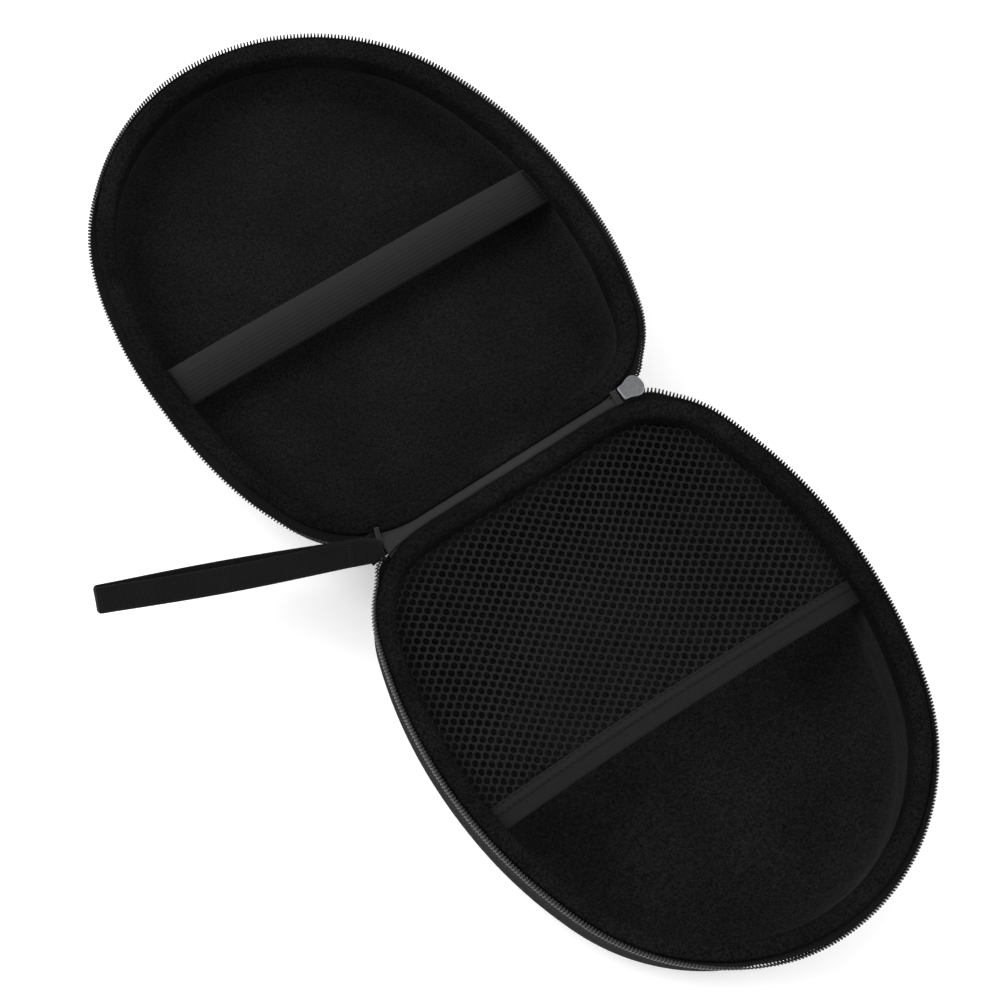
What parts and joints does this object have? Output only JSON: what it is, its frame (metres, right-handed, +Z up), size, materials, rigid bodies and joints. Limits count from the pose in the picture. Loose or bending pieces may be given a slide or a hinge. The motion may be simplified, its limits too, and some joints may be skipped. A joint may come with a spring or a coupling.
{
  "type": "headphone carrying case",
  "caption": "Zipped clamshell case for headphones, lying open, with a mesh pocket in the base, an elastic strap in the lid and a wrist loop.",
  "frame": {"origin": "centre of the base's flat underside", "axes": "+Z up, +X along the hinge, the base towards -Y and the lid towards +Y, case lying open"},
  "size_m": [0.2436, 0.4087, 0.0523],
  "materials": {
    "cover_fabric": "fine woven, matt",
    "foam": "matt foam",
    "velvet_lining": "short pile",
    "knit_lining": "fine diagonal knit",
    "binding": "stretched cloth, satin",
    "zipper_tape": "woven tape",
    "coil_nylon": "nylon coil",
    "hinge_cloth": "smooth cloth",
    "mesh": "open hex mesh",
    "elastic": "ribbed elastic",
    "thread": "polyester thread",
    "slider_metal": "grey lacquered zinc",
    "webbing": "grosgrain webbing"
  },
  "bodies": {
    "base": {"base_cover": "cover_fabric", "base_core": "foam", "base_lining": "velvet_lining", "base_rim_trim": "binding", "base_zipper_tape": "zipper_tape", "base_zipper_coil": "coil_nylon", "base_hinge_leaf": "hinge_cloth", "mesh_pocket": "mesh", "pocket_binding": "mesh", "pocket_elastic": "elastic", "pocket_stitching": "thread"},
    "lid": {"lid_cover": "cover_fabric", "lid_core": "foam", "lid_lining": "knit_lining", "lid_rim_trim": "binding", "lid_zipper_tape": "zipper_tape", "lid_zipper_coil": "coil_nylon", "lid_hinge_leaf": "hinge_cloth", "elastic_strap": "elastic", "strap_stitching": "thread"},
    "fold_ends": {"left_end_tab": "hinge_cloth", "right_end_tab": "hinge_cloth", "zipper_chain_end": "coil_nylon"},
    "slider": {"slider_body": "slider_metal", "slider_bridge": "slider_metal"},
    "puller": {"pull_tab": "slider_metal"},
    "wrist_loop": {"wrist_strap": "webbing", "wrist_bartack": "thread"}
  },
  "joints": [
    {"name": "lid_hinge", "type": "hinge", "parent": "base", "child": "lid", "pos_m": [0, 0.1025, 0.048], "axis": [1, 0, 0], "range_deg": [-2, 186.5]},
    {"name": "fold_turn", "type": "hinge", "parent": "base", "child": "fold_ends", "pos_m": [0, 0.1025, 0.048], "axis": [1, 0, 0], "range_deg": [-1, 93.25]},
    {"name": "slider_travel", "type": "slide", "parent": "fold_ends", "child": "slider", "axis": [1, 0, 0], "range_m": [0, 0.004]},
    {"name": "puller_swing", "type": "hinge", "parent": "slider", "child": "puller", "pos_m": [0.0555, 0.1025, 0.0429], "axis": [0, -1, 0], "range_deg": [-15, 80]},
    {"name": "wrist_swing", "type": "hinge", "parent": "fold_ends", "child": "wrist_loop", "pos_m": [-0.0649, 0.1041, 0.048], "axis": [0.2477, 0.728, 0.6393], "range_deg": [-10, 35]}
  ],
  "couplings": [
    {"joint": "fold_turn", "follows": "lid_hinge", "ratio": 0.5}
  ]
}
